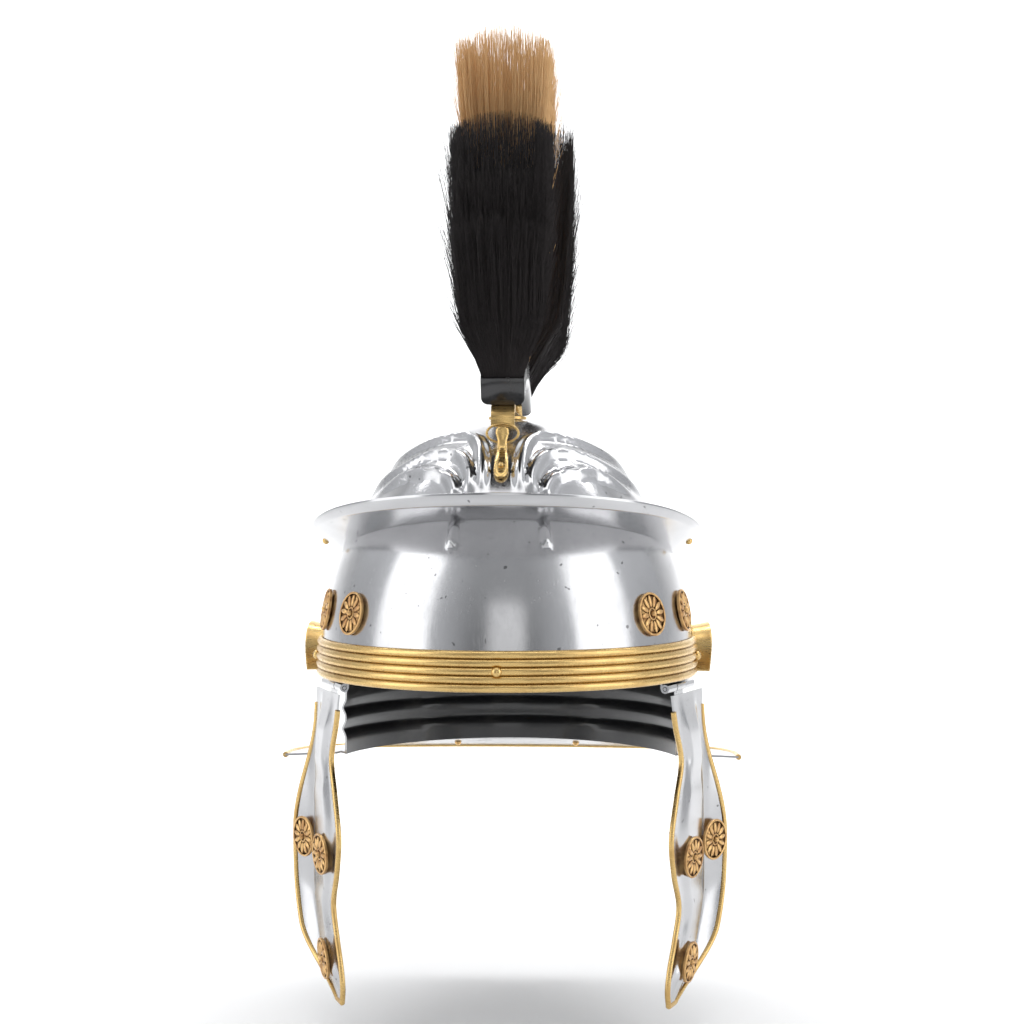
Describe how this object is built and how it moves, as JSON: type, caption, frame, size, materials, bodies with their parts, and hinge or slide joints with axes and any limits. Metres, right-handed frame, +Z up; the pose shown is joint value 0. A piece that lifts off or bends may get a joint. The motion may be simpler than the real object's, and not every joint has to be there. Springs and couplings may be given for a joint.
{
  "type": "crested Roman helmet",
  "caption": "Polished steel Roman helmet with brow band, visor, neck guard, hinged cheek guards and a fore-and-aft hair crest",
  "frame": {"origin": "inner apex of the bowl, where the helmet sits on the crown of a head", "axes": "+Z up, the face looks along -Y, +X is the left of the wearer"},
  "size_m": [0.2726, 0.3007, 0.5423],
  "materials": {
    "steel": "polished",
    "brass": "satin",
    "aged_brass": "aged",
    "black_holder": "gloss",
    "black_hair": "coarse hair",
    "natural_hair": "coarse hair"
  },
  "bodies": {
    "helmet": {"band_rivet_centre": "brass", "band_rivet_left": "brass", "band_rivet_right": "brass", "bowl": "steel", "bowl_rosette_left_front": "aged_brass", "bowl_rosette_left_front_rivet": "aged_brass", "bowl_rosette_left_side": "aged_brass", "bowl_rosette_left_side_rivet": "aged_brass", "bowl_rosette_right_front": "aged_brass", "bowl_rosette_right_front_rivet": "aged_brass", "bowl_rosette_right_side": "aged_brass", "bowl_rosette_right_side_rivet": "aged_brass", "brow_band": "brass", "crest_holder": "black_holder", "crest_post": "brass", "crest_ring": "brass", "crest_strap": "brass", "ear_guard_left": "brass", "ear_guard_right": "brass", "front_hook": "brass", "front_hook_rivet": "brass", "hinge_leaf_left": "steel", "hinge_leaf_right": "steel", "hinge_pin_left": "steel", "hinge_pin_right": "steel", "neck_guard_trim": "brass", "plume_front": "black_hair", "plume_middle": "natural_hair", "plume_rear": "black_hair", "rear_hook": "brass", "visor": "steel", "visor_rivet_left": "brass", "visor_rivet_right": "brass", "neck_rivet_left": "aged_brass", "neck_rivet_right": "aged_brass"},
    "cheek_left": {"cheek_plate_left": "steel", "cheek_rosette_left_lower": "aged_brass", "cheek_rosette_left_lower_rivet": "aged_brass", "cheek_rosette_left_middle": "aged_brass", "cheek_rosette_left_middle_rivet": "aged_brass", "cheek_rosette_left_rear": "aged_brass", "cheek_rosette_left_rear_rivet": "aged_brass", "cheek_trim_left": "brass"},
    "cheek_right": {"cheek_plate_right": "steel", "cheek_rosette_right_lower": "aged_brass", "cheek_rosette_right_lower_rivet": "aged_brass", "cheek_rosette_right_middle": "aged_brass", "cheek_rosette_right_middle_rivet": "aged_brass", "cheek_rosette_right_rear": "aged_brass", "cheek_rosette_right_rear_rivet": "aged_brass", "cheek_trim_right": "brass"}
  },
  "joints": [
    {"name": "cheek_hinge_left", "type": "hinge", "parent": "helmet", "child": "cheek_left", "pos_m": [-0.09575, -0.022, -0.1477], "axis": [-0.3795, 0.9252, 0], "range_deg": [-15, 75]},
    {"name": "cheek_hinge_right", "type": "hinge", "parent": "helmet", "child": "cheek_right", "pos_m": [0.09575, -0.022, -0.1477], "axis": [0.3795, 0.9252, 0], "range_deg": [-75, 15]}
  ]
}
